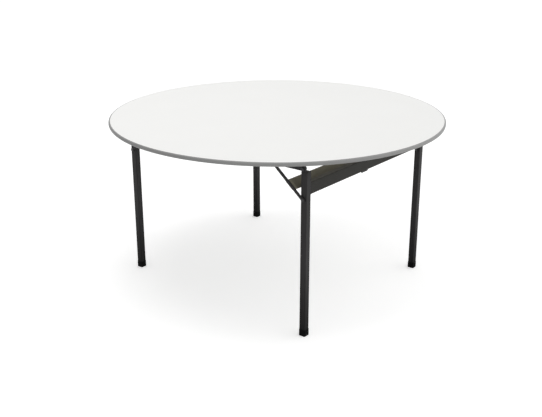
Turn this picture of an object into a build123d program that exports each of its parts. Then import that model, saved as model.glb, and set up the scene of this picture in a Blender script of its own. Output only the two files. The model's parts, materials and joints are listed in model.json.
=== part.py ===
from build123d import *
from math import asin, cos, degrees, hypot, radians, sin, sqrt
import os

# Round folding banquet table. Origin on the floor under the middle of the top, +Z up.
# Each pair of legs is one frame that folds inwards along X about a hinge under the top.
# The right frame, on the +X side, is modelled first; the left one is its half turn about Z.

# Top
top_diameter = 1500
table_height = 750
top_thickness = 17
laminate_thickness = 0.8
band_thickness = 7
band_crown = 2.5
band_round = 5
tongue_thickness = 2.4
tongue_depth = 9
band_clearance = 0.1

# Leg frames
leg_x = 510
frame_offset = 35.5
leg_width = 28
leg_wall = 1.5
leg_corner = 3
leg_top_drop = 39
cross_rail_height = 50
cross_rail_width = 25
cross_rail_wall = 1.5
cross_rail_corner = 3
cross_rail_drop = 80

# Feet
foot_height = 28
foot_base = 5
foot_wall = 1.2
foot_clearance = 0.05
foot_edge = 1.5

# Hinge at the head of each leg
hinge_drop = 22
hinge_bolt_radius = 4
lug_thickness = 5
lug_radius = 9
lug_plate_thickness = 3
bolt_head_radius = 7.5
bolt_head_height = 3.5
bolt_head_round = 1.5
nut_radius = 7
nut_height = 5
thread_end = 1.5
spacer_radius = 8
running_gap = 0.25
bore_clearance = 0.05

# Stays
stay_pivot_drop = 148
stay_width = 12
stay_thickness = 4
stay_length = 218
stay_eye_radius = 8.5
leg_to_stay = 2.5
stay_bolt_radius = 3
stay_bolt_head_radius = 5.5
stay_bolt_sink = 0.15
stay_nut_radius = 5.5
stay_nut_height = 4.5
stay_spacer_radius = 7.5

# Guide pin at the inner end of each stay
pin_radius = 3
pin_neck_radius = 2.4
pin_short = 0.2
pin_rivet_radius = 4.5
pin_rivet_height = 1.4
pin_rivet_round = 0.8
pin_end_drop = 7
slot_clearance = 0.4

# Brace panel between the two stays of a frame
panel_thickness = 2
panel_width = 49
panel_from_pivot = 48
panel_above_stay = 11.6
panel_tab_below = 10.7
panel_tab_shift = 10
panel_lip_depth = 9
panel_tab_round = 5
panel_leg_margin = 4
panel_rivet_radius = 2.5
panel_rivet_spacing = 26

# Rails under the top
rail_thickness = 3
rail_height = 29
rail_flange = 28
rail_beyond_pin = 16.5
rail_rim_gap = 5
rail_outer_overhang = 14
rail_bend = 4
rail_inner_bend = 1
rail_end_round = 5
stay_to_rail = 0.5
slot_margin = 6.5
guide_arcs = 8
screws_per_rail = 5
screw_radius = 2
screw_length = 13
screw_head_radius = 4
screw_head_height = 2.2
screw_end_margin = 18
screw_clearance = 0.25
pilot_clearance = 0.08

# Keeper plate on each cross rail and spring catch under the top
keeper_width = 50
keeper_thickness = 3
keeper_below_rail = 19
keeper_overlap = 34
keeper_edge_round = 6
keeper_rivet_radius = 2.5
keeper_rivet_head = 4.5
keeper_rivet_height = 1.8
keeper_rivet_spacing = 26
catch_thickness = 1.5
catch_width = 34
catch_base = 32
catch_depth = 15
catch_lead = 5
catch_clearance = 0.5
catch_screw_spacing = 18

cut_margin = 2

# Places worked out from the sizes above
top_radius = top_diameter / 2
underside = table_height - top_thickness
core_radius = top_radius - band_thickness - band_clearance
core_bottom = underside + laminate_thickness
core_thickness = top_thickness - 2 * laminate_thickness
core_middle = core_bottom + core_thickness / 2

hinge_z = underside - hinge_drop
leg_top = underside - leg_top_drop
stay_pivot_z = underside - stay_pivot_drop
hinge_to_pivot = hinge_z - stay_pivot_z
cross_rail_top = underside - cross_rail_drop
cross_rail_middle = cross_rail_top - cross_rail_height / 2
cross_rail_bottom = cross_rail_top - cross_rail_height

rail_outer_end = leg_x + rail_outer_overhang
flange_edge = -sqrt((core_radius - rail_rim_gap) ** 2 - rail_outer_end**2)
rail_inner = flange_edge + rail_flange
rail_outer = rail_inner - rail_thickness
stay_outer = rail_inner + stay_to_rail
stay_inner = stay_outer + stay_thickness
leg_outer = stay_inner + leg_to_stay
leg_inner = leg_outer + leg_width
leg_middle = leg_outer + leg_width / 2
frame_middle = -frame_offset
frame_plane = Plane.XZ.offset(frame_offset)

lug_outer = leg_outer
lug_inner = lug_outer + lug_thickness
nut_outer = lug_inner + running_gap

# Slope of the stay with the leg upright and with the leg folded, where the guide pin is as high
stay_rest_angle = degrees(asin((stay_pivot_drop - pin_end_drop) / stay_length))
stay_folded_angle = degrees(asin((hinge_drop - pin_end_drop) / stay_length))
pin_inner_reach = hinge_to_pivot + stay_length * cos(radians(stay_folded_angle))
rail_inner_end = leg_x - pin_inner_reach - rail_beyond_pin

rest_cosine = cos(radians(stay_rest_angle))
rest_sine = sin(radians(stay_rest_angle))
panel_plane = Plane(
    origin=(leg_x, frame_middle, stay_pivot_z),
    x_dir=(-rest_cosine, 0, rest_sine),
    z_dir=(rest_sine, 0, rest_cosine),
)
panel_top = panel_above_stay + panel_thickness
panel_length = 2 * (frame_middle - stay_inner)
panel_rivet_middle = panel_from_pivot + (panel_width + panel_tab_shift) / 2
keeper_drop = hinge_z - cross_rail_bottom + keeper_below_rail
keeper_reach = hypot(keeper_drop, cross_rail_width / 2 + keeper_thickness)
catch_face = leg_x - keeper_reach - catch_clearance

screw_spacing = (rail_outer_end - rail_inner_end - 2 * screw_end_margin) / (screws_per_rail - 1)
screw_middle_x = (rail_outer_end + rail_inner_end) / 2
screw_y = (rail_inner + flange_edge) / 2
catch_screw_x = catch_face - catch_base / 2


def y_plane(y):
    """Plane square to Y at the given y, with its sketch axes along X and Z."""
    return Plane.XZ.offset(-y)


def stay_plane(y):
    """Plane square to Y at the given y, with its origin at the stay's pivot and X along the stay."""
    return Plane(origin=(leg_x, y, stay_pivot_z), x_dir=(-rest_cosine, 0, rest_sine), z_dir=(0, 1, 0))


def guide_point(share):
    """Place of the guide pin when the frame has folded by a share of its quarter turn."""
    fold = radians(90 * share)
    slope = radians(stay_rest_angle + (stay_folded_angle - stay_rest_angle) * share)
    x = leg_x - hinge_to_pivot * sin(fold) - stay_length * cos(slope)
    z = hinge_z - hinge_to_pivot * cos(fold) + stay_length * sin(slope)
    return (x, z)


# Path of the guide pin as a chain of tangent arcs, in X and Z
with BuildLine() as guide_line:
    arc_share = 1 / guide_arcs
    ThreePointArc(guide_point(0), guide_point(arc_share / 2), guide_point(arc_share))
    for arc in range(1, guide_arcs):
        arc_start = guide_point(arc * arc_share)
        arc_end = guide_point((arc + 1) * arc_share)
        TangentArc(arc_start, arc_end, tangent=guide_line.edges()[-1] % 1)

guide_path = guide_line.wires()[0]


def finish_part(piece, name):
    """Label one finished piece and write it to its own file."""
    piece.label = name
    export_step(piece, os.path.join("parts", name + ".step"))


def rear_copy(piece):
    """Mirror a piece of the right frame from its front leg to its rear leg."""
    with BuildPart() as rear:
        mirror(piece, about=frame_plane)
    return rear.part


def left_copy(piece):
    """Turn a piece of the right frame by half a turn to the left frame."""
    with BuildPart() as left:
        add(piece, rotation=(0, 0, 180))
    return left.part


def both_ends(piece):
    """Join a piece at the front leg and its mirror at the rear leg into one node."""
    with BuildPart() as pair:
        add(piece)
        add(rear_copy(piece))
    return pair.part


def both_frames(piece):
    """Join the pieces of the right frame and their half turn into one node."""
    with BuildPart() as frames:
        add(piece)
        add(left_copy(piece))
    return frames.part


os.makedirs("parts", exist_ok=True)

# Screws of one rail, in pilot holes of the core
with BuildPart() as rail_screw_row:
    with BuildSketch(Plane.XY.offset(underside - rail_thickness)):
        with Locations((screw_middle_x, screw_y)):
            with GridLocations(screw_spacing, 0, screws_per_rail, 1):
                Circle(screw_radius)
    extrude(amount=screw_length)
    with BuildSketch(Plane.XY.offset(underside - rail_thickness)):
        with Locations((screw_middle_x, screw_y)):
            with GridLocations(screw_spacing, 0, screws_per_rail, 1):
                Circle(screw_head_radius)
    extrude(amount=-screw_head_height)
    head_rims = rail_screw_row.edges().filter_by(GeomType.CIRCLE).group_by(Axis.Z)[0]
    fillet(head_rims, radius=screw_head_height / 2)

rail_screws = both_frames(both_ends(rail_screw_row.part))
finish_part(rail_screws, "rail_screws")

# Screws of one catch
with BuildPart() as catch_screw_row:
    with BuildSketch(Plane.XY.offset(underside - catch_thickness)):
        with Locations((catch_screw_x, frame_middle)):
            with GridLocations(0, catch_screw_spacing, 1, 2):
                Circle(screw_radius)
    extrude(amount=screw_length)
    with BuildSketch(Plane.XY.offset(underside - catch_thickness)):
        with Locations((catch_screw_x, frame_middle)):
            with GridLocations(0, catch_screw_spacing, 1, 2):
                Circle(screw_head_radius)
    extrude(amount=-screw_head_height)
    head_rims = catch_screw_row.edges().filter_by(GeomType.CIRCLE).group_by(Axis.Z)[0]
    fillet(head_rims, radius=screw_head_height / 2)

catch_screws = both_frames(catch_screw_row.part)
finish_part(catch_screws, "catch_screws")

# Pilot holes for every screw under the top
with BuildPart() as right_pilots:
    with BuildSketch(Plane.XY.offset(underside)):
        with Locations((screw_middle_x, screw_y)):
            with GridLocations(screw_spacing, 0, screws_per_rail, 1):
                Circle(screw_radius + pilot_clearance)
        with Locations((catch_screw_x, frame_middle)):
            with GridLocations(0, catch_screw_spacing, 1, 2):
                Circle(screw_radius + pilot_clearance)
    extrude(amount=screw_length)
    mirror(about=frame_plane)

pilot_holes = both_frames(right_pilots.part)

# Core of the top, with the groove for the edge band's tongue
with BuildPart() as top_core:
    with BuildSketch(Plane.XY.offset(core_bottom)):
        Circle(core_radius)
    extrude(amount=core_thickness)
    with BuildSketch(Plane.XY.offset(core_middle - tongue_thickness / 2 - band_clearance)):
        Circle(core_radius + cut_margin)
        Circle(core_radius - tongue_depth - band_clearance, mode=Mode.SUBTRACT)
    extrude(amount=tongue_thickness + 2 * band_clearance, mode=Mode.SUBTRACT)
    add(pilot_holes, mode=Mode.SUBTRACT)

finish_part(top_core.part, "top_core")

with BuildPart() as top_laminate:
    with BuildSketch(Plane.XY.offset(core_bottom + core_thickness)):
        Circle(core_radius)
    extrude(amount=laminate_thickness)

finish_part(top_laminate.part, "top_laminate")

with BuildPart() as under_laminate:
    with BuildSketch(Plane.XY.offset(underside)):
        Circle(core_radius)
    extrude(amount=laminate_thickness)
    add(pilot_holes, mode=Mode.SUBTRACT)

finish_part(under_laminate.part, "under_laminate")

# Edge band with a crowned, rounded face and a tongue pressed into the core's groove
with BuildPart() as edge_band:
    with BuildSketch(Plane.XZ):
        with BuildLine():
            crown_low = (top_radius - band_crown, underside)
            crown_middle = (top_radius, underside + top_thickness / 2)
            crown_high = (top_radius - band_crown, table_height)
            band_inside = top_radius - band_thickness
            Polyline(crown_high, (band_inside, table_height), (band_inside, underside), crown_low)
            ThreePointArc(crown_low, crown_middle, crown_high)
        make_face()
        fillet(vertices().group_by(Axis.X)[-1], radius=band_round)
        with Locations((band_inside, core_middle)):
            Rectangle(tongue_depth + band_clearance, tongue_thickness, align=(Align.MAX, Align.CENTER))
    revolve(axis=Axis.Z)

finish_part(edge_band.part, "edge_band")

# Rail: a bent steel angle whose wall carries the leg hinge and the slot for the guide pin
with BuildPart() as rail_front:
    with BuildSketch(Plane.YZ.offset(rail_inner_end)):
        with Locations((rail_inner, underside)):
            Rectangle(rail_thickness, rail_height, align=(Align.MAX, Align.MAX))
            Rectangle(rail_flange, rail_thickness, align=(Align.MAX, Align.MAX))
        fillet(vertices().sort_by_distance((rail_inner, underside))[0], radius=rail_bend)
        inner_corner = (rail_outer, underside - rail_thickness)
        fillet(vertices().sort_by_distance(inner_corner)[0], radius=rail_inner_bend)
    extrude(amount=rail_outer_end - rail_inner_end)
    lower_end = rail_front.edges().filter_by(Axis.Y).group_by(Axis.X)[-1].sort_by(Axis.Z)[0]
    fillet(lower_end, radius=rail_end_round)
    with BuildSketch(y_plane(rail_inner)):
        SlotArc(guide_path, 2 * (pin_radius + slot_clearance + slot_margin))
        with Locations((0, underside - rail_thickness)):
            top_half = (Align.CENTER, Align.MIN)
            Rectangle(top_diameter, top_thickness, align=top_half, mode=Mode.SUBTRACT)
    extrude(amount=rail_thickness)
    with BuildSketch(y_plane(rail_inner)):
        SlotArc(guide_path, 2 * (pin_radius + slot_clearance))
        with Locations((leg_x, hinge_z)):
            Circle(hinge_bolt_radius + bore_clearance)
    extrude(amount=rail_thickness, mode=Mode.SUBTRACT)
    with BuildSketch(Plane.XY.offset(underside)):
        with Locations((screw_middle_x, screw_y)):
            with GridLocations(screw_spacing, 0, screws_per_rail, 1):
                Circle(screw_radius + screw_clearance)
    extrude(amount=-rail_thickness, mode=Mode.SUBTRACT)

# Hinge bolt, through the rail's wall, the spacer and the leg's lug
with BuildPart() as hinge_bolt:
    with BuildSketch(y_plane(rail_outer)):
        with Locations((leg_x, hinge_z)):
            Circle(bolt_head_radius)
    extrude(amount=bolt_head_height)
    head_rim = hinge_bolt.edges().filter_by(GeomType.CIRCLE).group_by(Axis.Y)[0]
    fillet(head_rim, radius=bolt_head_round)
    with BuildSketch(y_plane(rail_outer)):
        with Locations((leg_x, hinge_z)):
            Circle(hinge_bolt_radius)
    extrude(amount=rail_outer - nut_outer - nut_height - thread_end)

with BuildPart() as hinge_nut:
    with BuildSketch(y_plane(nut_outer)):
        with Locations((leg_x, hinge_z)):
            RegularPolygon(nut_radius, 6)
            Circle(hinge_bolt_radius + bore_clearance, mode=Mode.SUBTRACT)
    extrude(amount=-nut_height)

with BuildPart() as hinge_spacer:
    with BuildSketch(y_plane(rail_inner)):
        with Locations((leg_x, hinge_z)):
            Circle(spacer_radius)
            Circle(hinge_bolt_radius + bore_clearance, mode=Mode.SUBTRACT)
    extrude(amount=rail_inner - lug_outer + running_gap)

# Lug: an angle welded on the leg's head, with a rounded ear for the hinge bolt
with BuildPart() as lug_front:
    with BuildSketch(Plane.XY.offset(leg_top)):
        with Locations((leg_x, leg_middle)):
            RectangleRounded(leg_width, leg_width, leg_corner)
    extrude(amount=lug_plate_thickness)
    with BuildSketch(y_plane(lug_outer)):
        with Locations((leg_x, hinge_z)):
            Circle(lug_radius)
        with Locations((leg_x, leg_top)):
            Rectangle(2 * lug_radius, hinge_z - leg_top, align=(Align.CENTER, Align.MIN))
    extrude(amount=-lug_thickness)
    with BuildSketch(y_plane(lug_outer)):
        with Locations((leg_x, hinge_z)):
            Circle(hinge_bolt_radius + bore_clearance)
    extrude(amount=-lug_thickness, mode=Mode.SUBTRACT)

# Leg: a square tube, drilled through for the stay's bolt
with BuildPart() as leg_front:
    with BuildSketch(Plane.XY.offset(foot_base)):
        with Locations((leg_x, leg_middle)):
            RectangleRounded(leg_width, leg_width, leg_corner)
            leg_bore = leg_width - 2 * leg_wall
            RectangleRounded(leg_bore, leg_bore, leg_corner - leg_wall, mode=Mode.SUBTRACT)
    extrude(amount=leg_top - foot_base)
    with BuildSketch(y_plane(leg_outer)):
        with Locations((leg_x, stay_pivot_z)):
            Circle(stay_bolt_radius + bore_clearance)
    extrude(amount=-leg_width, mode=Mode.SUBTRACT)

# Foot: a rubber cup pushed over the leg's end
with BuildPart() as foot_front:
    foot_width = leg_width + 2 * (foot_wall + foot_clearance)
    with BuildSketch(Plane.XY):
        with Locations((leg_x, leg_middle)):
            RectangleRounded(foot_width, foot_width, leg_corner + foot_wall)
    extrude(amount=foot_height)
    fillet(foot_front.edges().group_by(Axis.Z)[0], radius=foot_edge)
    with BuildSketch(Plane.XY.offset(foot_base)):
        with Locations((leg_x, leg_middle)):
            foot_bore = leg_width + 2 * foot_clearance
            RectangleRounded(foot_bore, foot_bore, leg_corner)
    extrude(amount=foot_height, mode=Mode.SUBTRACT)

# Cross rail: a flat tube welded between the two legs of a frame
with BuildPart() as cross_rail_right:
    with BuildSketch(y_plane(leg_inner)):
        with Locations((leg_x, cross_rail_middle)):
            RectangleRounded(cross_rail_width, cross_rail_height, cross_rail_corner)
            rail_bore_width = cross_rail_width - 2 * cross_rail_wall
            rail_bore_height = cross_rail_height - 2 * cross_rail_wall
            bore_corner = cross_rail_corner - cross_rail_wall
            RectangleRounded(rail_bore_width, rail_bore_height, bore_corner, mode=Mode.SUBTRACT)
    extrude(amount=-2 * (frame_middle - leg_inner))
    with BuildSketch(Plane.YZ.offset(leg_x - cross_rail_width / 2)):
        with Locations((frame_middle, cross_rail_middle)):
            with GridLocations(keeper_rivet_spacing, 0, 2, 1):
                Circle(keeper_rivet_radius + bore_clearance)
    extrude(amount=cross_rail_wall, mode=Mode.SUBTRACT)

# Keeper plate, riveted to the inner face of the cross rail
with BuildPart() as keeper_right:
    with BuildSketch(Plane.YZ.offset(leg_x - cross_rail_width / 2)):
        with Locations((frame_middle, cross_rail_bottom - keeper_below_rail)):
            keeper_height = keeper_below_rail + keeper_overlap
            Rectangle(keeper_width, keeper_height, align=(Align.CENTER, Align.MIN))
        fillet(vertices().group_by(Axis.Y)[0], radius=keeper_edge_round)
        with Locations((frame_middle, cross_rail_middle)):
            with GridLocations(keeper_rivet_spacing, 0, 2, 1):
                Circle(keeper_rivet_radius + bore_clearance, mode=Mode.SUBTRACT)
    extrude(amount=-keeper_thickness)

with BuildPart() as keeper_rivets_right:
    with BuildSketch(Plane.YZ.offset(leg_x - cross_rail_width / 2 - keeper_thickness)):
        with Locations((frame_middle, cross_rail_middle)):
            with GridLocations(keeper_rivet_spacing, 0, 2, 1):
                Circle(keeper_rivet_head)
    extrude(amount=-keeper_rivet_height)
    fillet(keeper_rivets_right.edges().group_by(Axis.X)[0], radius=keeper_rivet_height / 2)
    with BuildSketch(Plane.YZ.offset(leg_x - cross_rail_width / 2 - keeper_thickness)):
        with Locations((frame_middle, cross_rail_middle)):
            with GridLocations(keeper_rivet_spacing, 0, 2, 1):
                Circle(keeper_rivet_radius)
    extrude(amount=keeper_thickness + cross_rail_wall)

# Spring catch, a bent leaf screwed under the top, that holds the keeper when folded
with BuildPart() as catch_right:
    with BuildSketch(y_plane(frame_middle - catch_width / 2)):
        with BuildLine():
            leaf_middle = catch_face - catch_thickness / 2
            leaf_head = underside - catch_thickness / 2
            leaf = Polyline(
                (catch_face - catch_base, leaf_head),
                (leaf_middle, leaf_head),
                (leaf_middle, underside - catch_depth),
                (leaf_middle - catch_lead, underside - catch_depth - catch_lead),
            )
        trace(leaf, line_width=catch_thickness)
    extrude(amount=-catch_width)
    with BuildSketch(Plane.XY.offset(underside)):
        with Locations((catch_screw_x, frame_middle)):
            with GridLocations(0, catch_screw_spacing, 1, 2):
                Circle(screw_radius + screw_clearance)
    extrude(amount=-catch_thickness, mode=Mode.SUBTRACT)

# Stay: a flat bar outside the leg, countersunk for its bolt and drilled for the guide pin
with BuildPart() as stay_front:
    with BuildSketch(stay_plane(stay_inner)):
        with Locations((stay_length / 2, 0)):
            SlotCenterToCenter(stay_length, stay_width)
        Circle(stay_eye_radius)
        with Locations((stay_length, 0)):
            Circle(pin_neck_radius + bore_clearance, mode=Mode.SUBTRACT)
        with Locations((panel_rivet_middle, 0)):
            with GridLocations(panel_rivet_spacing, 0, 2, 1):
                Circle(panel_rivet_radius + bore_clearance, mode=Mode.SUBTRACT)
    extrude(amount=-stay_thickness)
    with Locations(Plane(origin=(leg_x, stay_outer, stay_pivot_z), z_dir=(0, -1, 0))):
        CounterSinkHole(
            radius=stay_bolt_radius + bore_clearance,
            counter_sink_radius=stay_bolt_head_radius + stay_bolt_sink,
            depth=stay_thickness,
            counter_sink_angle=90,
        )

# Stay bolt, with a countersunk head flush with the stay, through the leg to its nut
with BuildPart() as stay_bolt:
    stay_bolt_head_height = stay_bolt_head_radius - stay_bolt_radius
    with BuildSketch(stay_plane(stay_outer)):
        Circle(stay_bolt_head_radius)
    extrude(amount=stay_bolt_head_height, taper=45)
    with BuildSketch(stay_plane(stay_outer)):
        Circle(stay_bolt_radius)
    extrude(amount=leg_inner + stay_nut_height + thread_end - stay_outer)

with BuildPart() as stay_nut:
    with BuildSketch(stay_plane(leg_inner)):
        RegularPolygon(stay_nut_radius, 6)
        Circle(stay_bolt_radius + bore_clearance, mode=Mode.SUBTRACT)
    extrude(amount=stay_nut_height)

with BuildPart() as stay_spacer:
    with BuildSketch(stay_plane(stay_inner + running_gap)):
        Circle(stay_spacer_radius)
        Circle(stay_bolt_radius + bore_clearance, mode=Mode.SUBTRACT)
    extrude(amount=leg_outer - stay_inner - running_gap)

# Guide pin, riveted in the stay's inner end, that runs in the rail's slot
with BuildPart() as guide_pin:
    with BuildSketch(stay_plane(stay_inner)):
        with Locations((stay_length, 0)):
            Circle(pin_rivet_radius)
    extrude(amount=pin_rivet_height)
    fillet(guide_pin.edges().group_by(Axis.Y)[-1], radius=pin_rivet_round)
    with BuildSketch(stay_plane(stay_inner)):
        with Locations((stay_length, 0)):
            Circle(pin_neck_radius)
    extrude(amount=-stay_thickness)
    with BuildSketch(stay_plane(stay_outer)):
        with Locations((stay_length, 0)):
            Circle(pin_radius)
    extrude(amount=rail_outer + pin_short - stay_outer)

# Brace panel: one bent sheet whose end tabs are riveted to the two stays. Its web lies above
# the stays, so that it comes to rest between the folded legs and the underside of the top.
with BuildPart() as brace_panel_right:
    with BuildSketch(panel_plane.offset(panel_above_stay)):
        with Locations((panel_from_pivot, 0)):
            Rectangle(panel_width, panel_length, align=(Align.MIN, Align.CENTER))
    extrude(amount=panel_thickness)
    with BuildSketch(panel_plane.offset(panel_above_stay)):
        lip_length = 2 * (frame_middle - leg_inner - panel_leg_margin)
        with Locations((panel_from_pivot + panel_width / 2, 0)):
            with GridLocations(panel_width - panel_thickness, 0, 2, 1):
                Rectangle(panel_thickness, lip_length)
    extrude(amount=-panel_lip_depth)
    with BuildSketch(stay_plane(stay_inner)):
        with BuildLine():
            Polyline(
                (panel_from_pivot, panel_top),
                (panel_from_pivot + panel_width, panel_top),
                (panel_from_pivot + panel_width + panel_tab_shift, -panel_tab_below),
                (panel_from_pivot + panel_tab_shift, -panel_tab_below),
                close=True,
            )
        make_face()
        fillet(vertices().group_by(Axis.Y)[0], radius=panel_tab_round)
        with Locations((panel_rivet_middle, 0)):
            with GridLocations(panel_rivet_spacing, 0, 2, 1):
                Circle(panel_rivet_radius + bore_clearance, mode=Mode.SUBTRACT)
    extrude(amount=panel_thickness)
    mirror(about=frame_plane)

with BuildPart() as panel_rivet_row:
    with BuildSketch(stay_plane(stay_outer)):
        with Locations((panel_rivet_middle, 0)):
            with GridLocations(panel_rivet_spacing, 0, 2, 1):
                Circle(panel_rivet_radius)
    extrude(amount=stay_thickness + panel_thickness)

# Pieces that each leg has for itself
leg_pieces = {
    "rail": rail_front,
    "lug": lug_front,
    "leg": leg_front,
    "foot": foot_front,
    "stay": stay_front,
}
for name, maker in leg_pieces.items():
    front = maker.part
    rear = rear_copy(front)
    finish_part(left_copy(front), name + "_left_rear")
    finish_part(left_copy(rear), name + "_left_front")
    finish_part(rear, name + "_right_rear")
    finish_part(front, name + "_right_front")

# Small pieces at the head of all four legs, which all belong to the top
hinge_pieces = {"hinge_bolts": hinge_bolt, "hinge_nuts": hinge_nut, "hinge_spacers": hinge_spacer}
for name, maker in hinge_pieces.items():
    finish_part(both_frames(both_ends(maker.part)), name)

# Pieces that each frame has once, or as a pair at its two legs
frame_pieces = {
    "cross_rail": cross_rail_right.part,
    "keeper": keeper_right.part,
    "keeper_rivets": keeper_rivets_right.part,
    "catch": catch_right.part,
    "brace_panel": brace_panel_right.part,
    "stay_bolts": both_ends(stay_bolt.part),
    "stay_nuts": both_ends(stay_nut.part),
    "stay_spacers": both_ends(stay_spacer.part),
    "guide_pins": both_ends(guide_pin.part),
    "panel_rivets": both_ends(panel_rivet_row.part),
}
for name, piece in frame_pieces.items():
    finish_part(left_copy(piece), name + "_left")
    finish_part(piece, name + "_right")
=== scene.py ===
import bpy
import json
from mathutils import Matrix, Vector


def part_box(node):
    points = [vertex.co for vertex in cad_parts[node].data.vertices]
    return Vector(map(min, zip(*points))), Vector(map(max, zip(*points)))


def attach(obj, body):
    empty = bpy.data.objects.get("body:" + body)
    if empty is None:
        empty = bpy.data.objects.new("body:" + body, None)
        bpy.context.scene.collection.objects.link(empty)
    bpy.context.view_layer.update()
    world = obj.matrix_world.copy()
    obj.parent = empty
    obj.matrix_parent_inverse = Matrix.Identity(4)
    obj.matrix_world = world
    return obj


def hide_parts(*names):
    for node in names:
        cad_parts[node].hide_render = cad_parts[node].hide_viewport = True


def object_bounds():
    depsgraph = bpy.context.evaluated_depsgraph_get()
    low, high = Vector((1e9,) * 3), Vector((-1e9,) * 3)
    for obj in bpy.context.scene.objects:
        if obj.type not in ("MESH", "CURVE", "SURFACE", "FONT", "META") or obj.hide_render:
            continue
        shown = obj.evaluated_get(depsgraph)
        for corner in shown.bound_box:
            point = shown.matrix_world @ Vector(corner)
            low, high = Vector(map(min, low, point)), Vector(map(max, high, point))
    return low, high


bl_info = {
    "name": "Folding banquet table",
    "version": (1, 0, 0),
    "blender": (4, 5, 0),
    "location": "View3D > Sidebar > Table",
    "description": "Finishes and fine pieces of a round folding banquet table, round its fixed frame",
    "category": "Object",
}

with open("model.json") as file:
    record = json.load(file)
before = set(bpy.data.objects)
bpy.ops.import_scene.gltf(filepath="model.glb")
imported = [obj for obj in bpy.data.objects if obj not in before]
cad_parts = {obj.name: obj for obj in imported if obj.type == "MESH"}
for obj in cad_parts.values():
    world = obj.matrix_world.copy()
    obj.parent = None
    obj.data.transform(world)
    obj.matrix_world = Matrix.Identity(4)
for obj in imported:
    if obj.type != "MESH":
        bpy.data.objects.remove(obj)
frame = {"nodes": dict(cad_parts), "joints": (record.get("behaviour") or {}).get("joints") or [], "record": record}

import json
from math import cos, pi, radians, sin

import bpy
from mathutils import Vector

CAD_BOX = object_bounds()

# Hinge of the right leg frame; the left one lies as far on the other side
RIGHT_HINGE = Vector(frame["joints"][0]["pos_m"])
SIDE_SIGN = {"right": 1, "left": -1}
CORNERS = [(side, end) for side in SIDE_SIGN for end in ("front", "rear")]

# How near a point has to lie to a place to be picked there
TOLERANCE = 0.00004
# Turns a primitive so that its own Z axis lies along Y
TURN_TO_Y = (pi / 2, 0, 0)

# Width of the level ring round the laminate's big face, in bevels
LEVEL_RING_BEVELS = 4

# Screw: its rounding as a share of the head's height, its cross as shares of the head's radius,
# and the hollow in its end as shares of the shank's radius
SCREW_ROUND_SHARE = 0.45
CROSS_ARM_SHARE = 0.55
CROSS_SLIT_SHARE = 0.22
SCREW_END_INSET_SHARE = 0.6
SCREW_END_SINK_SHARE = 0.5
# Turn from one screw's cross to the next one's, in radians
SCREW_TURN = 0.7

# Hinge bolt: its rounding as a share of the head's height, its hex socket and the bevel of its
# end as shares of the shank's radius
BOLT_ROUND_SHARE = 0.55
SOCKET_SHARE = 0.7
BOLT_END_SHARE = 0.18

# Weld bead: how far its middle lies in from a cross rail's end, as a share of its radius, and the
# length of its ripples in metres
WELD_SINK_SHARE = 0.5
WELD_RIPPLE_LENGTH = 0.003

# Powder coat: height over the floor, in metres, below which its colour darkens with painted shade and
# its surface turns duller, the share of its colour that the painted shade leaves at the floor, and what
# the dulling adds to its roughness
SHADED_AND_DULLED_HEIGHT = 0.32
PAINTED_SHADE_SHARE = 0.2
DULLED_ROUGHNESS = 0.3
# Pale grains of the powder coat: their colour, the noise level over which they show, and how much
PALE_GRAIN = (0.07, 0.07, 0.07)
PALE_GRAIN_LEVEL = 0.66
PALE_GRAIN_SHARE = 0.22
# Dust and painted light lie on faces that look up more than this, from 0 for a wall to 1 for a level face
DUST_AND_LIT_TOP_SLOPE = 0.6

# Dust on the feet's rubber
RUBBER_DUST = (0.05, 0.048, 0.045)

# Stage, in metres: the floor, the soft box, and how far the camera sees
FLOOR_RADIUS = 14
FLOOR_DROP = -0.0004
SOFT_BOX_SIZE = 2.6
SOFT_BOX_PLACE = (-0.5, -0.7, 5)
SIGHT_LIMIT = 100
# Width of the camera's sensor, in millimetres
SENSOR_WIDTH = 36
# Colours of the stage
FLOOR_WHITE = (0.80, 0.80, 0.80)
BLACK = (0, 0, 0)
WHITE = (1, 1, 1)


# Sizes and colours that a user would change

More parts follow.
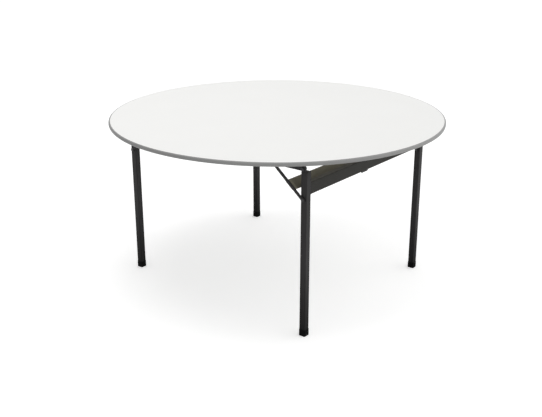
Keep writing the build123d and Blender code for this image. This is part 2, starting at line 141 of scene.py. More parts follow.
class TableSizes(bpy.types.PropertyGroup):
    band_segments: bpy.props.IntProperty(
        name="Rim segments", description="Steps in which the edge band is spun", default=288, min=64)
    band_round: bpy.props.FloatProperty(
        name="Band rounding", description="Radius of the edge band's outer edges",
        default=0.004, unit="LENGTH", precision=4)
    band_crown: bpy.props.FloatProperty(
        name="Band crown", description="How far the edge band's flank stands proud in its middle",
        default=0.0025, unit="LENGTH", precision=4)
    laminate_bevel: bpy.props.FloatProperty(
        name="Laminate bevel", description="Filed edge of the upper laminate",
        default=0.0003, unit="LENGTH", precision=4)
    screw_head_radius: bpy.props.FloatProperty(
        name="Screw head", description="Radius of a screw's head",
        default=0.004, unit="LENGTH", precision=4)
    screw_head_height: bpy.props.FloatProperty(
        name="Screw head height", description="Height of a screw's head",
        default=0.0022, unit="LENGTH", precision=4)
    screw_radius: bpy.props.FloatProperty(
        name="Screw radius", description="Radius of a screw's shank",
        default=0.002, unit="LENGTH", precision=4)
    screw_end_margin: bpy.props.FloatProperty(
        name="Screw margin", description="From a rail's end to its first screw",
        default=0.018, unit="LENGTH", precision=4)
    screws_per_rail: bpy.props.IntProperty(
        name="Screws per rail", description="Screws in one rail", default=5, min=2)
    catch_screw_spacing: bpy.props.FloatProperty(
        name="Catch screw spacing", description="Between the two screws of a catch",
        default=0.018, unit="LENGTH", precision=4)
    bolt_head_radius: bpy.props.FloatProperty(
        name="Bolt head", description="Radius of a hinge bolt's head",
        default=0.0075, unit="LENGTH", precision=4)
    bolt_head_height: bpy.props.FloatProperty(
        name="Bolt head height", description="Height of a hinge bolt's head",
        default=0.0035, unit="LENGTH", precision=4)
    bolt_radius: bpy.props.FloatProperty(
        name="Bolt radius", description="Radius of a hinge bolt's shank",
        default=0.004, unit="LENGTH", precision=4)
    bolt_reach: bpy.props.FloatProperty(
        name="Bolt reach", description="From the outer face of a leg's lug to its hinge bolt's end",
        default=0.01175, unit="LENGTH", precision=5)
    weld_radius: bpy.props.FloatProperty(
        name="Weld radius", description="Thickness of a weld bead",
        default=0.0016, unit="LENGTH", precision=4)
    weld_corner: bpy.props.FloatProperty(
        name="Weld corner", description="Radius with which a weld bead turns a tube's corner",
        default=0.003, unit="LENGTH", precision=4)
    weld_ripple: bpy.props.FloatProperty(
        name="Weld ripple", description="Height of the ripples on a weld bead",
        default=0.0007, unit="LENGTH", precision=4)


class TableColours(bpy.types.PropertyGroup):
    laminate: bpy.props.FloatVectorProperty(
        name="Laminate", description="White top surface", subtype="COLOR",
        size=3, min=0, max=1, default=(0.85, 0.85, 0.835))
    underside: bpy.props.FloatVectorProperty(
        name="Underside", description="Lower laminate", subtype="COLOR",
        size=3, min=0, max=1, default=(0.60, 0.60, 0.58))
    band: bpy.props.FloatVectorProperty(
        name="Edge band", description="Grey rim of the top", subtype="COLOR",
        size=3, min=0, max=1, default=(0.285, 0.285, 0.282))
    coat: bpy.props.FloatVectorProperty(
        name="Powder coat", description="Charcoal coat of the steel", subtype="COLOR",
        size=3, min=0, max=1, default=(0.0245, 0.0233, 0.0240))
    cross_rail: bpy.props.FloatVectorProperty(
        name="Cross rails", description="Charcoal coat of the cross rails, a little warmer",
        subtype="COLOR", size=3, min=0, max=1, default=(0.0150, 0.0143, 0.0112))
    # Colour of upward faces: partly dust, partly painted light on their tops
    dust: bpy.props.FloatVectorProperty(
        name="Dust", description="Dust on what faces upwards", subtype="COLOR",
        size=3, min=0, max=1, default=(0.105, 0.098, 0.082))
    panel: bpy.props.FloatVectorProperty(
        name="Brace panel", description="Olive brown coat of the brace panels", subtype="COLOR",
        size=3, min=0, max=1, default=(0.205, 0.190, 0.145))
    zinc: bpy.props.FloatVectorProperty(
        name="Fasteners", description="Blackened zinc of screws, bolts and pins", subtype="COLOR",
        size=3, min=0, max=1, default=(0.050, 0.050, 0.053))
    spring: bpy.props.FloatVectorProperty(
        name="Catches", description="Blued spring steel of the catches", subtype="COLOR",
        size=3, min=0, max=1, default=(0.17, 0.18, 0.20))
    rubber: bpy.props.FloatVectorProperty(
        name="Feet", description="Black rubber of the feet", subtype="COLOR",
        size=3, min=0, max=1, default=(0.0035, 0.0035, 0.0037))
    board: bpy.props.FloatVectorProperty(
        name="Core board", description="Pressed wood of the core", subtype="COLOR",
        size=3, min=0, max=1, default=(0.56, 0.41, 0.25))


class TableStage(bpy.types.PropertyGroup):
    azimuth: bpy.props.FloatProperty(
        name="Azimuth", description="Direction of the camera round the table",
        default=0.6723, subtype="ANGLE")
    elevation: bpy.props.FloatProperty(
        name="Elevation", description="Height angle of the camera", default=0.3516, subtype="ANGLE")
    camera_place: bpy.props.FloatVectorProperty(
        name="Camera", description="Place of the camera", subtype="TRANSLATION",
        size=3, default=(2.3586, -3.0069, 1.6972))
    lens: bpy.props.FloatProperty(
        name="Lens", description="Focal length in millimetres", default=57.63)
    sky: bpy.props.FloatProperty(
        name="Sky level", description="Strength of the soft light from all sides", default=0.76)
    sky_lean: bpy.props.FloatProperty(
        name="Sky lean", description="How much more light comes from the right than from the left",
        default=0.9, min=0, max=1)
    lamp: bpy.props.FloatProperty(
        name="Soft box", description="Power of the soft box over the table, in watts", default=57)
    floor_glow: bpy.props.FloatProperty(
        name="Floor glow", description="Lifts the floor to white for the eye and for reflections",
        default=0.445)


SETTINGS = {"table_sizes": TableSizes, "table_colours": TableColours, "table_stage": TableStage}


def sizes():
    return bpy.context.scene.table_sizes


def colours():
    return bpy.context.scene.table_colours


# Modelling helpers

def deselect():
    """Leaves nothing selected, so that an operator acts on one piece alone."""
    bpy.ops.object.select_all(action="DESELECT")


def take(piece):
    """Makes one piece the selected and active one."""
    deselect()
    piece.select_set(True)
    bpy.context.view_layer.objects.active = piece


def settle():
    """Puts the active piece's place, turn and scale into its mesh."""
    bpy.ops.object.transform_apply(location=True, rotation=True, scale=True)


def rename(piece, name):
    piece.name = name
    piece.data.name = name


def new_piece(name):
    """Names the primitive just added and puts its place into its mesh."""
    piece = bpy.context.active_object
    rename(piece, name)
    settle()
    return piece


def cylinder(name, sides, radius, depth, place, turn=(0, 0, 0)):
    deselect()
    bpy.ops.mesh.primitive_cylinder_add(
        vertices=sides, radius=radius, depth=depth, location=place, rotation=turn)
    return new_piece(name)


def edit(piece, mode, test):
    """Enters edit mode with just the vertices, edges or faces selected whose points all pass a test."""
    take(piece)
    mesh = piece.data
    groups = {"VERT": mesh.vertices, "EDGE": mesh.edges, "FACE": mesh.polygons}
    for group in groups.values():
        for item in group:
            item.select = False
    for item in groups[mode]:
        corners = [item.index] if mode == "VERT" else list(item.vertices)
        if all(test(mesh.vertices[corner].co) for corner in corners):
            item.select = True
            for corner in corners:
                mesh.vertices[corner].select = True
    bpy.ops.object.mode_set(mode="EDIT")
    bpy.ops.mesh.select_mode(type=mode)


def leave_edit():
    bpy.ops.object.mode_set(mode="OBJECT")


def bevel_edges(piece, test, width, segments):
    """Bevels the edges whose two points pass a test."""
    edit(piece, "EDGE", test)
    bpy.ops.mesh.bevel(offset=width, segments=segments, affect="EDGES")
    leave_edit()


def open_outline(width, segments):
    """Rounds the selected corners of a plane in edit mode, and leaves only its outline."""
    bpy.ops.mesh.bevel(offset=width, segments=segments, affect="VERTICES")
    bpy.ops.mesh.select_all(action="SELECT")
    bpy.ops.mesh.delete(type="ONLY_FACE")


def merge_and_turn(piece):
    """Merges doubled points and turns every face outwards."""
    take(piece)
    bpy.ops.object.mode_set(mode="EDIT")
    bpy.ops.mesh.select_all(action="SELECT")
    bpy.ops.mesh.remove_doubles(threshold=1e-6)
    bpy.ops.mesh.normals_make_consistent(inside=False)
    leave_edit()


def smooth(piece, degrees):
    """Shades a piece smooth where its faces meet at less than an angle."""
    take(piece)
    bpy.ops.object.shade_smooth_by_angle(angle=radians(degrees))


def copy_to(piece, place, turn):
    """Copies a piece with its own mesh, turned about Z and then moved."""
    double = piece.copy()
    double.data = piece.data.copy()
    bpy.context.collection.objects.link(double)
    double.rotation_euler.z = turn
    double.location = place
    take(double)
    settle()
    return double


def join(pieces, name):
    """Joins pieces into one object with that name."""
    deselect()
    for piece in pieces:
        piece.select_set(True)
    bpy.context.view_layer.objects.active = pieces[0]
    bpy.ops.object.join()
    joined = bpy.context.active_object
    rename(joined, name)
    return joined


def cut(piece, cutter):
    """Cuts one closed piece out of another."""
    take(piece)
    recess = piece.modifiers.new("recess", "BOOLEAN")
    recess.operation = "DIFFERENCE"
    recess.solver = "EXACT"
    recess.object = cutter
    bpy.ops.object.modifier_apply(modifier="recess")
    bpy.data.objects.remove(cutter)


def dress(piece, material):
    """Gives a piece one finish all over."""
    piece.data.materials.clear()
    piece.data.materials.append(material)


def middle_of(low, high):
    """The point half way between two corners of a box."""
    return tuple((a + b) / 2 for a, b in zip(low, high))


# Shader maths

class Value:
    """A socket of a node tree that can be added, multiplied and so on like a number."""

    def __init__(self, nodes, socket):
        self.nodes = nodes
        self.socket = socket

    def __add__(self, other):
        return self.nodes.maths("ADD", self, other)

    __radd__ = __add__

    def __mul__(self, other):
        return self.nodes.maths("MULTIPLY", self, other)

    __rmul__ = __mul__

    def __sub__(self, other):
        return self.nodes.maths("SUBTRACT", self, other)

    def __rsub__(self, other):
        return self.nodes.maths("SUBTRACT", other, self)

    def __gt__(self, other):
        return self.nodes.maths("GREATER_THAN", self, other)


# Places of the Mix node's two colours among its inputs, and of the mixed one among its outputs
MIX_FIRST = 6
MIX_SECOND = 7
MIX_RESULT = 2


class NodeTree:
    """A node tree whose nodes come from one method."""

    def __init__(self, tree):
        self.tree = tree

    def node(self, kind, settings=None, inputs=None, output=0):
        """Adds a node, sets it up, feeds its sockets and returns one of its outputs."""
        made = self.tree.nodes.new(kind)
        for setting, value in (settings or {}).items():
            setattr(made, setting, value)
        for socket, value in (inputs or {}).items():
            self.feed(made.inputs[socket], value)
        return Value(self, made.outputs[output])

    def feed(self, socket, value):
        """Links a value to a socket, or writes a number or colour into it."""
        if isinstance(value, Value):
            self.tree.links.new(value.socket, socket)
        else:
            socket.default_value = value

    def maths(self, operation, first, second):
        return self.node("ShaderNodeMath", {"operation": operation}, {0: first, 1: second})

    def blend(self, factor, first, second):
        """Mixes two colours, each written or from a node, by a value."""
        settings = {"data_type": "RGBA", "clamp_factor": True}
        first, second = (c if isinstance(c, Value) else (*c, 1) for c in (first, second))
        inputs = {0: factor, MIX_FIRST: first, MIX_SECOND: second}
        return self.node("ShaderNodeMix", settings, inputs, MIX_RESULT)

    def seen_directly(self):
        """1 for the eye and for what a glossy or clear surface shows, 0 for light on other pieces."""
        rays = ("Is Camera Ray", "Is Glossy Ray", "Is Transmission Ray")
        eye, mirrored, through = (self.node("ShaderNodeLightPath", output=ray) for ray in rays)
        return self.maths("MAXIMUM", self.maths("MAXIMUM", eye, mirrored), through)


class Shader(NodeTree):
    """A material with one Principled shader, and the few patterns that the finishes share."""

    def __init__(self, name, **sockets):
        self.material = bpy.data.materials.new(name)
        self.material.use_nodes = True
        super().__init__(self.material.node_tree)
        self.surface = self.tree.nodes["Principled BSDF"]
        self.place = self.node("ShaderNodeTexCoord", output="Object")
        for socket, value in sockets.items():
            self.set(socket.replace("_", " "), value)

    def set(self, name, value):
        """Sets a socket of the Principled shader to a number or a value."""
        self.feed(self.surface.inputs[name], value)

    def stretched(self, factors):
        return self.node("ShaderNodeMapping", None, {"Vector": self.place, "Scale": factors})

    def noise(self, scale, detail, stretch=None):
        """Cloudy noise from 0 to 1 on Object coordinates, so many clouds to the metre."""
        place = self.stretched(stretch) if stretch else self.place
        inputs = {"Vector": place, "Scale": scale, "Detail": detail}
        return self.node("ShaderNodeTexNoise", None, inputs, "Fac")

    def height(self):
        """Height over the floor in metres."""
        return self.node("ShaderNodeSeparateXYZ", None, {0: self.place}, "Z")

    def facing_up(self):
        """1 on a face that looks straight up, 0 on a wall, less than 0 underneath."""
        normal = self.node("ShaderNodeTexCoord", output="Normal")
        return self.node("ShaderNodeSeparateXYZ", None, {0: normal}, "Z")

    def shades(self, factor, colour, depth):
        """A colour that runs a little darker and lighter round its middle."""
        darker = tuple(channel * (1 - depth) for channel in colour)
        lighter = tuple(min(1, channel * (1 + depth)) for channel in colour)
        return self.blend(factor, darker, lighter)

    def bump(self, height, distance):
        """Bumps the surface by a value, up to a distance in metres."""
        inputs = {"Height": height, "Distance": distance, "Strength": 1}
        self.set("Normal", self.node("ShaderNodeBump", None, inputs, "Normal"))


# Finishes. smoothest is the lowest roughness, and stippled, lined, peeled and their like are what a
# pattern adds to it. A relief is in metres, and a depth is a share of the colour.

def white_laminate(name, colour, smoothest=0.40, stippled=0.12, clouded=0.05, relief=0.00004):
    """Matte laminate: a fine stipple with very slight clouding."""
    shader = Shader(name, IOR=1.48)
    cloud = shader.noise(scale=6, detail=3)
    stipple = shader.noise(scale=900, detail=2)
    shader.set("Base Color", shader.shades(cloud, colour, depth=0.012))
    shader.set("Roughness", smoothest + stippled * stipple + clouded * cloud)
    shader.bump(stipple, relief)
    return shader.material


def edge_plastic(name, colour, smoothest=0.42, lined=0.14, relief=0.00008):
    """Satin moulded edge: faint drawn lines along the rim and a fine grain."""
    shader = Shader(name, IOR=1.5, Specular_IOR_Level=0.28)
    grain = shader.noise(scale=700, detail=3)
    drift = shader.noise(scale=9, detail=2)
    lines = shader.noise(scale=60, detail=2, stretch=(0.4, 0.4, 40))
    shader.set("Base Color", shader.shades(drift * 0.6 + lines * 0.4, colour, depth=0.06))
    shader.set("Roughness", smoothest + lined * lines)
    shader.bump(grain * 0.5 + lines * 0.5, relief)
    return shader.material


def powder_coat(name, colour, drift_depth=0.10, dust_share=0.2,
                smoothest=0.40, peeled=0.16, drifted=0.05, relief=0.00018):
    """Powder coat: orange peel in the bump, pale grains, clouding, dust and painted light on top,
    and painted shade and dulling near the floor.
    """
    shader = Shader(name, IOR=1.5, Specular_IOR_Level=0.17)
    peel = shader.noise(scale=420, detail=2)
    grain = shader.noise(scale=1800, detail=1)
    drift = shader.noise(scale=14, detail=3)
    # Painted shade: the colour darkens towards the floor, down to a share of it at the floor
    above_floor = shader.height() * (1 / SHADED_AND_DULLED_HEIGHT)
    painted_shade_colour = tuple(channel * PAINTED_SHADE_SHARE for channel in colour)
    tone = shader.blend(above_floor, painted_shade_colour, shader.shades(drift, colour, drift_depth))
    grainy = shader.blend((grain > PALE_GRAIN_LEVEL) * PALE_GRAIN_SHARE, tone, PALE_GRAIN)
    # Upward faces turn towards the dust colour: partly dust, partly painted light that lifts their shaded tops
    dust = (shader.facing_up() - DUST_AND_LIT_TOP_SLOPE) * (1 / (1 - DUST_AND_LIT_TOP_SLOPE)) * dust_share
    shader.set("Base Color", shader.blend(dust, grainy, colours().dust))
    low_down = shader.node("ShaderNodeClamp", None, {0: 1 - above_floor})
    shader.set("Roughness", smoothest + peeled * peel + drifted * drift + DULLED_ROUGHNESS * low_down)
    shader.bump(peel * 0.8 + grain * 0.2, relief)
    return shader.material


def plated_steel(name, colour, smoothest, scratched=0.18, relief=0.00004):
    """Zinc plated or blued steel: cloudy tone with fine scratches."""
    shader = Shader(name, Metallic=1.0)
    cloud = shader.noise(scale=220, detail=3)
    scratches = shader.noise(scale=400, detail=2, stretch=(1, 12, 1))
    shader.set("Base Color", shader.shades(cloud, colour, depth=0.22))
    shader.set("Roughness", smoothest + scratched * scratches)
    shader.bump(scratches, relief)
    return shader.material


def foot_rubber(name, colour, dust_at_floor=0.5, dust_fall=60, dust_share=0.25,
                smoothest=0.62, speckled=0.2, relief=0.0001):
    """Matte rubber, a little dusty towards the floor: the dust falls off by so much to the metre."""
    shader = Shader(name, IOR=1.5, Specular_IOR_Level=0.05)
    speckle = shader.noise(scale=600, detail=3)
    dust = shader.noise(scale=120, detail=2) * (dust_at_floor - shader.height() * dust_fall)
    shader.set("Base Color", shader.blend(dust * dust_share, colour, RUBBER_DUST))
    shader.set("Roughness", smoothest + speckled * speckle)
    shader.bump(speckle, relief)
    return shader.material


def core_board(name, colour, chip_contrast=1.4, relief=0.0002):
    """Pressed wood chips."""
    shader = Shader(name, Roughness=0.8)
    flat = shader.stretched((1, 1, 3))
    chips = shader.node("ShaderNodeTexVoronoi", None, {"Vector": flat, "Scale": 260}, "Distance")
    shader.set("Base Color", shader.shades(chips * chip_contrast, colour, depth=0.35))
    shader.bump(chips, relief)
    return shader.material


def finish(name, make, colour, **amounts):
    """The material of that name, made when a piece first asks for it."""
    return bpy.data.materials.get(name) or make(name, colour, **amounts)


# Operators

class FinishFrame(bpy.types.Operator):
    """Gives every piece that keeps its own shape its finish"""
    bl_idname = "table.finish_frame"
    bl_label = "Finishes of the frame"

    def execute(self, context):
        tints = colours()
        finishes = {
            "white_laminate": finish("pale_under_laminate", white_laminate, tints.underside),
            "core_board": finish("pressed_board", core_board, tints.board),
            "grey_edge": finish("grey_edge_plastic", edge_plastic, tints.band),
            "black_steel": finish("charcoal_powder_coat", powder_coat, tints.coat),
            "olive_steel": finish(
                "olive_brown_coat", powder_coat, tints.panel, drift_depth=0.16, dust_share=0.0),
            "zinc_steel": finish("dark_zinc", plated_steel, tints.zinc, smoothest=0.36),
            "spring_steel": finish("blued_spring_steel", plated_steel, tints.spring, smoothest=0.28),
            "black_rubber": finish("foot_rubber", foot_rubber, tints.rubber),
            # Full share on the cross rails: painted light lifts their tops out of the shade under the table top
            "cross_rail": finish("warm_charcoal_coat", powder_coat, tints.cross_rail, dust_share=1.0),
        }
        slots = {row["node"]: row["material_slot"] for row in frame["record"]["subparts"]}
        for side in SIDE_SIGN:
            slots[f"cross_rail_{side}"] = "cross_rail"
        for node, piece in frame["nodes"].items():
            piece.material_slots[0].material = finishes[slots[node]]
        return {"FINISHED"}


class BuildTopSurface(bpy.types.Operator):
    """Lays the white laminate inside the edge band, with a fine filed edge"""
    bl_idname = "table.build_top_surface"
    bl_label = "Top laminate"

    def execute(self, context):
        low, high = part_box("top_laminate")
        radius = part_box("top_core")[1][0]
        bevel = sizes().laminate_bevel
        deselect()
        bpy.ops.mesh.primitive_circle_add(
            vertices=sizes().band_segments, radius=radius, fill_type="NGON", location=(0, 0, low[2]))
        sheet = new_piece("top_laminate_sheet")
        edit(sheet, "FACE", lambda point: True)
        rise = (0, 0, high[2] - low[2])
        bpy.ops.mesh.extrude_region_move(TRANSFORM_OT_translate={"value": rise})
        leave_edit()
        half_way = (high[2] + low[2]) / 2
        bevel_edges(sheet, lambda point: point.z > half_way, bevel, segments=2)
        # A narrow ring, level with the big face, takes the bevel's shading off it
        edit(sheet, "FACE", lambda point: point.z > high[2] - TOLERANCE)
        bpy.ops.mesh.inset(thickness=LEVEL_RING_BEVELS * bevel)
        leave_edit()
        merge_and_turn(sheet)
        smooth(sheet, degrees=30)
        dress(sheet, finish("white_top_laminate", white_laminate, colours().laminate))
        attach(sheet, "table_top")
        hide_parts("top_laminate")
        return {"FINISHED"}


def draw_back_edges(band, middle, half_height):
    """Draws the band's outer profile back towards its top and bottom, so that it is proud in its middle."""
    inner_end = min(vertex.co.x for vertex in band.data.vertices)
    for vertex in band.data.vertices:
        if vertex.co.x > inner_end + TOLERANCE:
            share = (vertex.co.z - middle[2]) / half_height
            vertex.co.x -= sizes().band_crown * share**2


class BuildEdgeBand(bpy.types.Operator):
    """Spins the rounded edge band round the top"""
    bl_idname = "table.build_edge_band"
    bl_label = "Edge band"

    def execute(self, context):
        low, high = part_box("edge_band")
        outer = high[0]
        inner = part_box("top_core")[1][0]
        middle = ((outer + inner) / 2, 0, (high[2] + low[2]) / 2)
        deselect()
        bpy.ops.mesh.primitive_plane_add(size=1, location=middle, rotation=TURN_TO_Y)
        bpy.context.active_object.scale = (outer - inner, high[2] - low[2], 1)
        band = new_piece("edge_band_rim")
        edit(band, "VERT", lambda point: point.x > middle[0])
        open_outline(sizes().band_round, segments=8)
        leave_edit()
        edit(band, "EDGE", lambda point: point.x > outer - TOLERANCE)
        bpy.ops.mesh.subdivide(number_cuts=9)
        leave_edit()
        draw_back_edges(band, middle, high[2] - middle[2])
        edit(band, "EDGE", lambda point: True)
        bpy.ops.mesh.spin(
            steps=sizes().band_segments, angle=2 * pi, center=(0, 0, 0), axis=(0, 0, 1))
        leave_edit()
        merge_and_turn(band)
        smooth(band, degrees=40)
        dress(band, finish("grey_edge_plastic", edge_plastic, colours().band))
        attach(band, "table_top")
        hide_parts("edge_band")
        return {"FINISHED"}


def cross_screw(length):
    """One pan head screw with a cross recess, its head downwards and its seat at the origin."""
    head = sizes().screw_head_height
    radius = sizes().screw_head_radius
    shank_radius = sizes().screw_radius
    screw = cylinder("screw", sides=28, radius=radius, depth=head, place=(0, 0, -head / 2))
    bevel_edges(screw, lambda point: point.z < -head / 2, SCREW_ROUND_SHARE * head, segments=4)
    arms = 2 * CROSS_ARM_SHARE * radius
    slit = CROSS_SLIT_SHARE * radius
    for size in ((arms, slit, head), (slit, arms, head)):
        deselect()
        bpy.ops.mesh.primitive_cube_add(size=1, location=(0, 0, -head))
        bpy.context.active_object.scale = size
        cut(screw, new_piece("recess"))
    shank = cylinder("shank", sides=16, radius=shank_radius, depth=length, place=(0, 0, length / 2))
    edit(shank, "FACE", lambda point: point.z > length / 2)
    bpy.ops.mesh.inset(thickness=SCREW_END_INSET_SHARE * shank_radius)
    bpy.ops.transform.translate(value=(0, 0, -SCREW_END_SINK_SHARE * shank_radius))
    leave_edit()
    return join([screw, shank], "screw")


def rail_screw_places():
    """Seats of the screws under the flanges of the four rails."""
    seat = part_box("rail_screws")[0][2] + sizes().screw_head_height
    steps = sizes().screws_per_rail - 1
    places = []
    for side, end in CORNERS:
        low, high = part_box(f"rail_{side}_{end}")
        first = low[0] + sizes().screw_end_margin
        last = high[0] - sizes().screw_end_margin
        for step in range(steps + 1):
            places.append((first + (last - first) * step / steps, (low[1] + high[1]) / 2, seat))
    return places


def catch_screw_places():
    """Seats of the screws under the bases of the two catches."""
    low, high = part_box("catch_screws")
    outer = high[0] - sizes().screw_head_radius
    seat = low[2] + sizes().screw_head_height
    places = []
    for side, sign in SIDE_SIGN.items():
        middle = middle_of(*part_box(f"catch_{side}"))
        for step in (-0.5, 0.5):
            places.append((sign * outer, middle[1] + step * sizes().catch_screw_spacing, seat))
    return places


class BuildScrews(bpy.types.Operator):
    """Puts cross head screws into the rails and the catches"""
    bl_idname = "table.build_screws"
    bl_label = "Screws"

    def execute(self, context):
        zinc = finish("dark_zinc_screws", plated_steel, colours().zinc, smoothest=0.34)
        groups = {"rail_screws": rail_screw_places(), "catch_screws": catch_screw_places()}
        for node, places in groups.items():
            low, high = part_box(node)
            screw = cross_screw(high[2] - low[2] - sizes().screw_head_height)
            copies = [copy_to(screw, place, SCREW_TURN * i) for i, place in enumerate(places)]
            bpy.data.objects.remove(screw)
            group = join(copies, node + "_cross_head")
            smooth(group, degrees=40)
            dress(group, zinc)
            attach(group, "table_top")
            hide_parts(node)
        return {"FINISHED"}


def socket_bolt(length):
    """One button head bolt with a hex socket, its seat at the origin and its shank along Y."""
    head = sizes().bolt_head_height
    radius = sizes().bolt_radius
    bolt = cylinder("bolt", sides=40, radius=sizes().bolt_head_radius, depth=head,
                    place=(0, -head / 2, 0), turn=TURN_TO_Y)
    bevel_edges(bolt, lambda point: point.y < -head / 2, BOLT_ROUND_SHARE * head, segments=5)
    socket = cylinder("socket", sides=6, radius=SOCKET_SHARE * radius, depth=head,
                      place=(0, -head, 0), turn=TURN_TO_Y)
    cut(bolt, socket)
    shank = cylinder("shank", sides=28, radius=radius, depth=length,
                     place=(0, length / 2, 0), turn=TURN_TO_Y)
    bevel_edges(shank, lambda point: point.y > length / 2, BOLT_END_SHARE * radius, segments=2)
    return join([bolt, shank], "bolt")


class BuildHingeBolts(bpy.types.Operator):
    """Puts a button head bolt with a hex socket through each leg hinge"""
    bl_idname = "table.build_hinge_bolts"
    bl_label = "Hinge bolts"

    def execute(self, context):
        # A bolt's seat, under its head, lies on the outer face of its rail, and its lug further in
        head_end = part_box("hinge_bolts")[0][1]
        seat_to_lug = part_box("lug_right_front")[0][1] - head_end - sizes().bolt_head_height
        bolt = socket_bolt(seat_to_lug + sizes().bolt_reach)
        copies = []
        for side, end in CORNERS:
            low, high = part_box(f"lug_{side}_{end}")
            seat, turn = (low[1] - seat_to_lug, 0) if end == "front" else (high[1] + seat_to_lug, pi)
            place = (SIDE_SIGN[side] * RIGHT_HINGE.x, seat, RIGHT_HINGE.z)
            copies.append(copy_to(bolt, place, turn))
        bpy.data.objects.remove(bolt)
        group = join(copies, "hinge_bolts_hex_socket")
        smooth(group, degrees=40)
        dress(group, finish("dark_zinc_bolts", plated_steel, colours().zinc, smoothest=0.30))
        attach(group, "table_top")
        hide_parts("hinge_bolts")
        return {"FINISHED"}


def ripple(bead):
    """Roughens a bead with the small waves of a weld."""
    waves = bpy.data.textures.new(bead.name + "_ripples", "CLOUDS")
    waves.noise_scale = WELD_RIPPLE_LENGTH
    lift = bead.modifiers.new("ripple", "DISPLACE")
    lift.texture = waves
    lift.texture_coords = "LOCAL"
    lift.strength = sizes().weld_ripple
    lift.mid_level = 0.5
    bpy.ops.object.modifier_apply(modifier="ripple")


def weld_bead(name, width, height, place, turn=(0, 0, 0)):
    """A rippled bead round a rounded rectangle, such as the end of a tube."""
    deselect()
    bpy.ops.mesh.primitive_plane_add(size=1, rotation=turn)
    bpy.context.active_object.scale = (width, height, 1)
    bead = new_piece(name)
    edit(bead, "VERT", lambda point: True)
    open_outline(sizes().weld_corner, segments=4)
    bpy.ops.mesh.select_all(action="SELECT")
    bpy.ops.mesh.subdivide(number_cuts=9)
    leave_edit()
    take(bead)
    bpy.ops.object.convert(target="CURVE")
    bead = bpy.context.active_object
    bead.data.bevel_depth = sizes().weld_radius
    bead.data.bevel_resolution = 3
    bpy.ops.object.convert(target="MESH")
    bead = bpy.context.active_object
    bead.location = place
    settle()
    merge_and_turn(bead)
    ripple(bead)
    smooth(bead, degrees=60)
    return bead


class BuildWelds(bpy.types.Operator):
    """Runs weld beads round the cross rails' ends and the lugs' plates"""
    bl_idname = "table.build_welds"
    bl_label = "Weld beads"

    def execute(self, context):
        coat = finish("charcoal_powder_coat", powder_coat, colours().coat)
        sink = WELD_SINK_SHARE * sizes().weld_radius
        for side in SIDE_SIGN:
            beads = []
            low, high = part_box(f"cross_rail_{side}")
            middle = middle_of(low, high)
            for y in (low[1] + sink, high[1] - sink):
                place = (middle[0], y, middle[2])
                beads.append(weld_bead("rail_weld", high[0] - low[0], high[2] - low[2], place, TURN_TO_Y))
            for end in ("front", "rear"):
                low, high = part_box(f"leg_{side}_{end}")
                middle = middle_of(low, high)
                span = high[0] - low[0] - sizes().weld_radius
                beads.append(weld_bead("lug_weld", span, span, (middle[0], middle[1], high[2])))
            group = join(beads, f"frame_welds_{side}")
            dress(group, coat)
            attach(group, f"leg_frame_{side}")
        return {"FINISHED"}


def floor_paint(glow_level):
    """White floor: it keeps its shadow, glows for the eye and in reflections, is clear from underneath."""
    shader = Shader("studio_floor_white", Roughness=0.95, Emission_Strength=glow_level)
    cloud = shader.noise(scale=3, detail=2)
    shader.set("Base Color", shader.shades(cloud, FLOOR_WHITE, depth=0.004))
    shader.set("Emission Color", shader.blend(shader.seen_directly(), BLACK, WHITE))
    underneath = shader.node("ShaderNodeNewGeometry", output="Backfacing")
    surface = Value(shader, shader.surface.outputs[0])
    clear = shader.node("ShaderNodeBsdfTransparent")
    both = shader.node("ShaderNodeMixShader", None, {0: underneath, 1: surface, 2: clear})
    shader.feed(shader.tree.nodes["Material Output"].inputs["Surface"], both)
    return shader.material


def build_floor(stage):
    """A wide round floor just under the feet."""
    deselect()
    bpy.ops.mesh.primitive_circle_add(
        vertices=96, radius=FLOOR_RADIUS, fill_type="NGON", location=(0, 0, FLOOR_DROP))
    floor = bpy.context.active_object
    floor.name = "studio_floor"
    dress(floor, floor_paint(stage.floor_glow))


def build_world(stage):
    """Soft light, stronger from the camera's right, and plain white for the eye and in reflections."""
    world = bpy.data.worlds.new("studio_world")
    bpy.context.scene.world = world
    world.use_nodes = True
    sky = NodeTree(world.node_tree)
    right = (cos(stage.azimuth), sin(stage.azimuth), 0)
    away = sky.node("ShaderNodeTexCoord", output="Generated")
    lean = sky.node("ShaderNodeVectorMath", {"operation": "DOT_PRODUCT"}, {0: away, 1: right}, "Value")
    dim = (stage.sky * (1 - stage.sky_lean),) * 3
    bright = (stage.sky * (1 + stage.sky_lean),) * 3
    tone = sky.blend(lean * 0.5 + 0.5, dim, bright)
    lit = sky.node("ShaderNodeBackground", None, {"Color": tone, "Strength": 1})
    white = sky.node("ShaderNodeBackground", None, {"Color": (*WHITE, 1), "Strength": 1})
    both = sky.node("ShaderNodeMixShader", None, {0: sky.seen_directly(), 1: lit, 2: white})
    sky.feed(sky.tree.nodes["World Output"].inputs["Surface"], both)


def build_soft_box(stage):
    """A square soft box that points at the middle of the table."""
    light = bpy.data.lights.new("soft_box", "AREA")
    light.energy = stage.lamp
    light.size = SOFT_BOX_SIZE
    lamp = bpy.data.objects.new("soft_box", light)
    lamp.location = SOFT_BOX_PLACE
    aim = Vector((0, 0, CAD_BOX[1][2])) - Vector(SOFT_BOX_PLACE)
    lamp.rotation_euler = aim.to_track_quat("-Z", "Y").to_euler()
    bpy.context.scene.collection.objects.link(lamp)


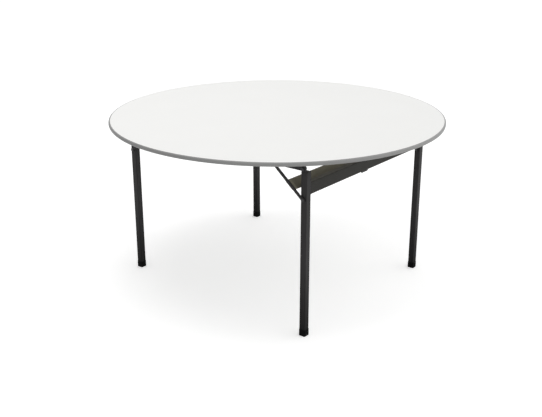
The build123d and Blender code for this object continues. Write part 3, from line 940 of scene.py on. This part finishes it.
def build_camera(stage):
    """The camera, at the place and with the lens that the stage gives."""
    lens = bpy.data.cameras.new("table_camera")
    lens.lens = stage.lens
    lens.sensor_width = SENSOR_WIDTH
    lens.clip_end = SIGHT_LIMIT
    camera = bpy.data.objects.new("table_camera", lens)
    camera.location = stage.camera_place
    camera.rotation_euler = (pi / 2 - stage.elevation, 0, stage.azimuth)
    bpy.context.scene.collection.objects.link(camera)
    bpy.context.scene.camera = camera


class BuildStage(bpy.types.Operator):
    """Sets the white floor, the soft light and the camera"""
    bl_idname = "table.build_stage"
    bl_label = "Stage"

    def execute(self, context):
        stage = context.scene.table_stage
        build_floor(stage)
        build_world(stage)
        build_soft_box(stage)
        build_camera(stage)
        context.scene.view_settings.view_transform = "Standard"
        return {"FINISHED"}


class TablePanel(bpy.types.Panel):
    """Lists the steps and settings of the table"""
    bl_idname = "VIEW3D_PT_folding_table"
    bl_label = "Folding banquet table"
    bl_space_type = "VIEW_3D"
    bl_region_type = "UI"
    bl_category = "Table"

    def draw(self, context):
        for operator in OPERATORS:
            self.layout.operator(operator.bl_idname)
        for name, group in SETTINGS.items():
            box = self.layout.box()
            for setting in group.__annotations__:
                box.prop(getattr(context.scene, name), setting)


OPERATORS = (
    FinishFrame, BuildTopSurface, BuildEdgeBand, BuildScrews, BuildHingeBolts, BuildWelds, BuildStage)


def register():
    for name, group in SETTINGS.items():
        bpy.utils.register_class(group)
        setattr(bpy.types.Scene, name, bpy.props.PointerProperty(type=group))
    for operator in OPERATORS:
        bpy.utils.register_class(operator)
    bpy.utils.register_class(TablePanel)


def unregister():
    bpy.utils.unregister_class(TablePanel)
    for operator in reversed(OPERATORS):
        bpy.utils.unregister_class(operator)
    for name, group in reversed(SETTINGS.items()):
        delattr(bpy.types.Scene, name)
        bpy.utils.unregister_class(group)


def main():
    register()
    bpy.ops.table.finish_frame()
    bpy.ops.table.build_top_surface()
    bpy.ops.table.build_edge_band()
    bpy.ops.table.build_screws()
    bpy.ops.table.build_hinge_bolts()
    bpy.ops.table.build_welds()
    bpy.ops.table.build_stage()


if __name__ == "__main__":
    main()
